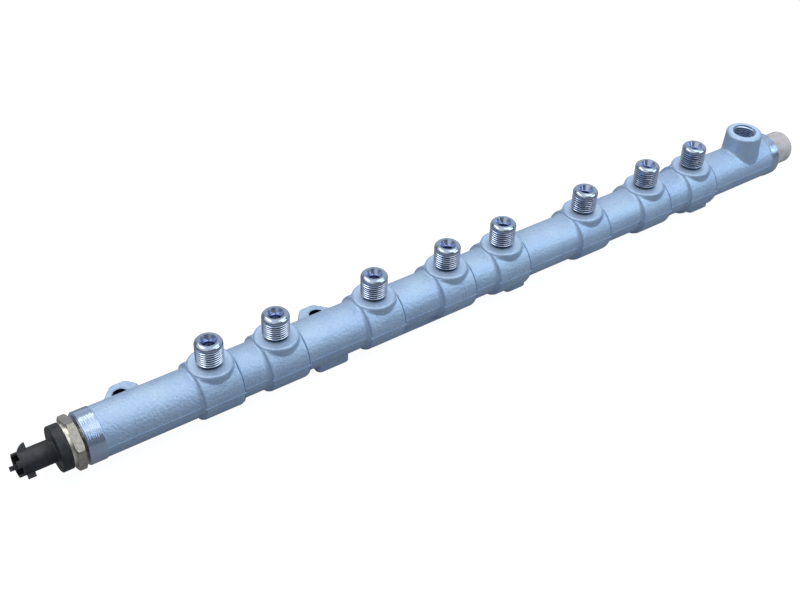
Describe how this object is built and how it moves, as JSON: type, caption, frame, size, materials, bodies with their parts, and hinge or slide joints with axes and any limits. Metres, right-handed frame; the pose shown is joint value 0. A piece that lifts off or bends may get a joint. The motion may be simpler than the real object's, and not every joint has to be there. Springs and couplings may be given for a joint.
{
  "type": "fuel rail",
  "caption": "High-pressure common rail for diesel injection: forged steel tube with threaded line outlets, relief valve boss, bolt lugs, end pressure sensor and protective cap.",
  "frame": {"origin": "midway between the two bolt holes, on the plane of the machined feet", "axes": "+X along the rail away from the sensor, +Y towards the bolted side, +Z the way the outlets point"},
  "size_m": [0.5779, 0.0479, 0.051],
  "materials": {
    "zinc_steel": "zinc-plated forging, matt blue-grey skin and bright machined faces",
    "nickel_steel": "nickel-plated, satin",
    "sleeve_steel": "bright, slightly golden",
    "cell_steel": "turned",
    "throttle_steel": "ground",
    "black_plastic": "glass-filled, matt",
    "carrier_plastic": "matt",
    "board_laminate": "lacquered board",
    "seal_rubber": "smooth",
    "contact_brass": "gold-flashed",
    "cap_plastic": "milky, translucent"
  },
  "bodies": {
    "root": {"rail_body": "zinc_steel", "end_cap": "cap_plastic", "sensor_body": "nickel_steel", "sensor_sleeve": "sleeve_steel", "sensor_connector": "black_plastic", "sensor_seal_ring": "seal_rubber", "sensor_cell": "cell_steel", "sensor_circuit_board": "board_laminate", "sensor_board_carrier": "carrier_plastic", "outlet_throttle_1": "throttle_steel", "outlet_throttle_2": "throttle_steel", "outlet_throttle_3": "throttle_steel", "outlet_throttle_4": "throttle_steel", "outlet_throttle_5": "throttle_steel", "outlet_throttle_6": "throttle_steel", "outlet_throttle_7": "throttle_steel", "outlet_throttle_8": "throttle_steel", "sensor_contact_1": "contact_brass", "sensor_contact_2": "contact_brass", "sensor_contact_3": "contact_brass", "sensor_spring_1": "contact_brass", "sensor_spring_2": "contact_brass", "sensor_spring_3": "contact_brass"}
  },
  "joints": []
}
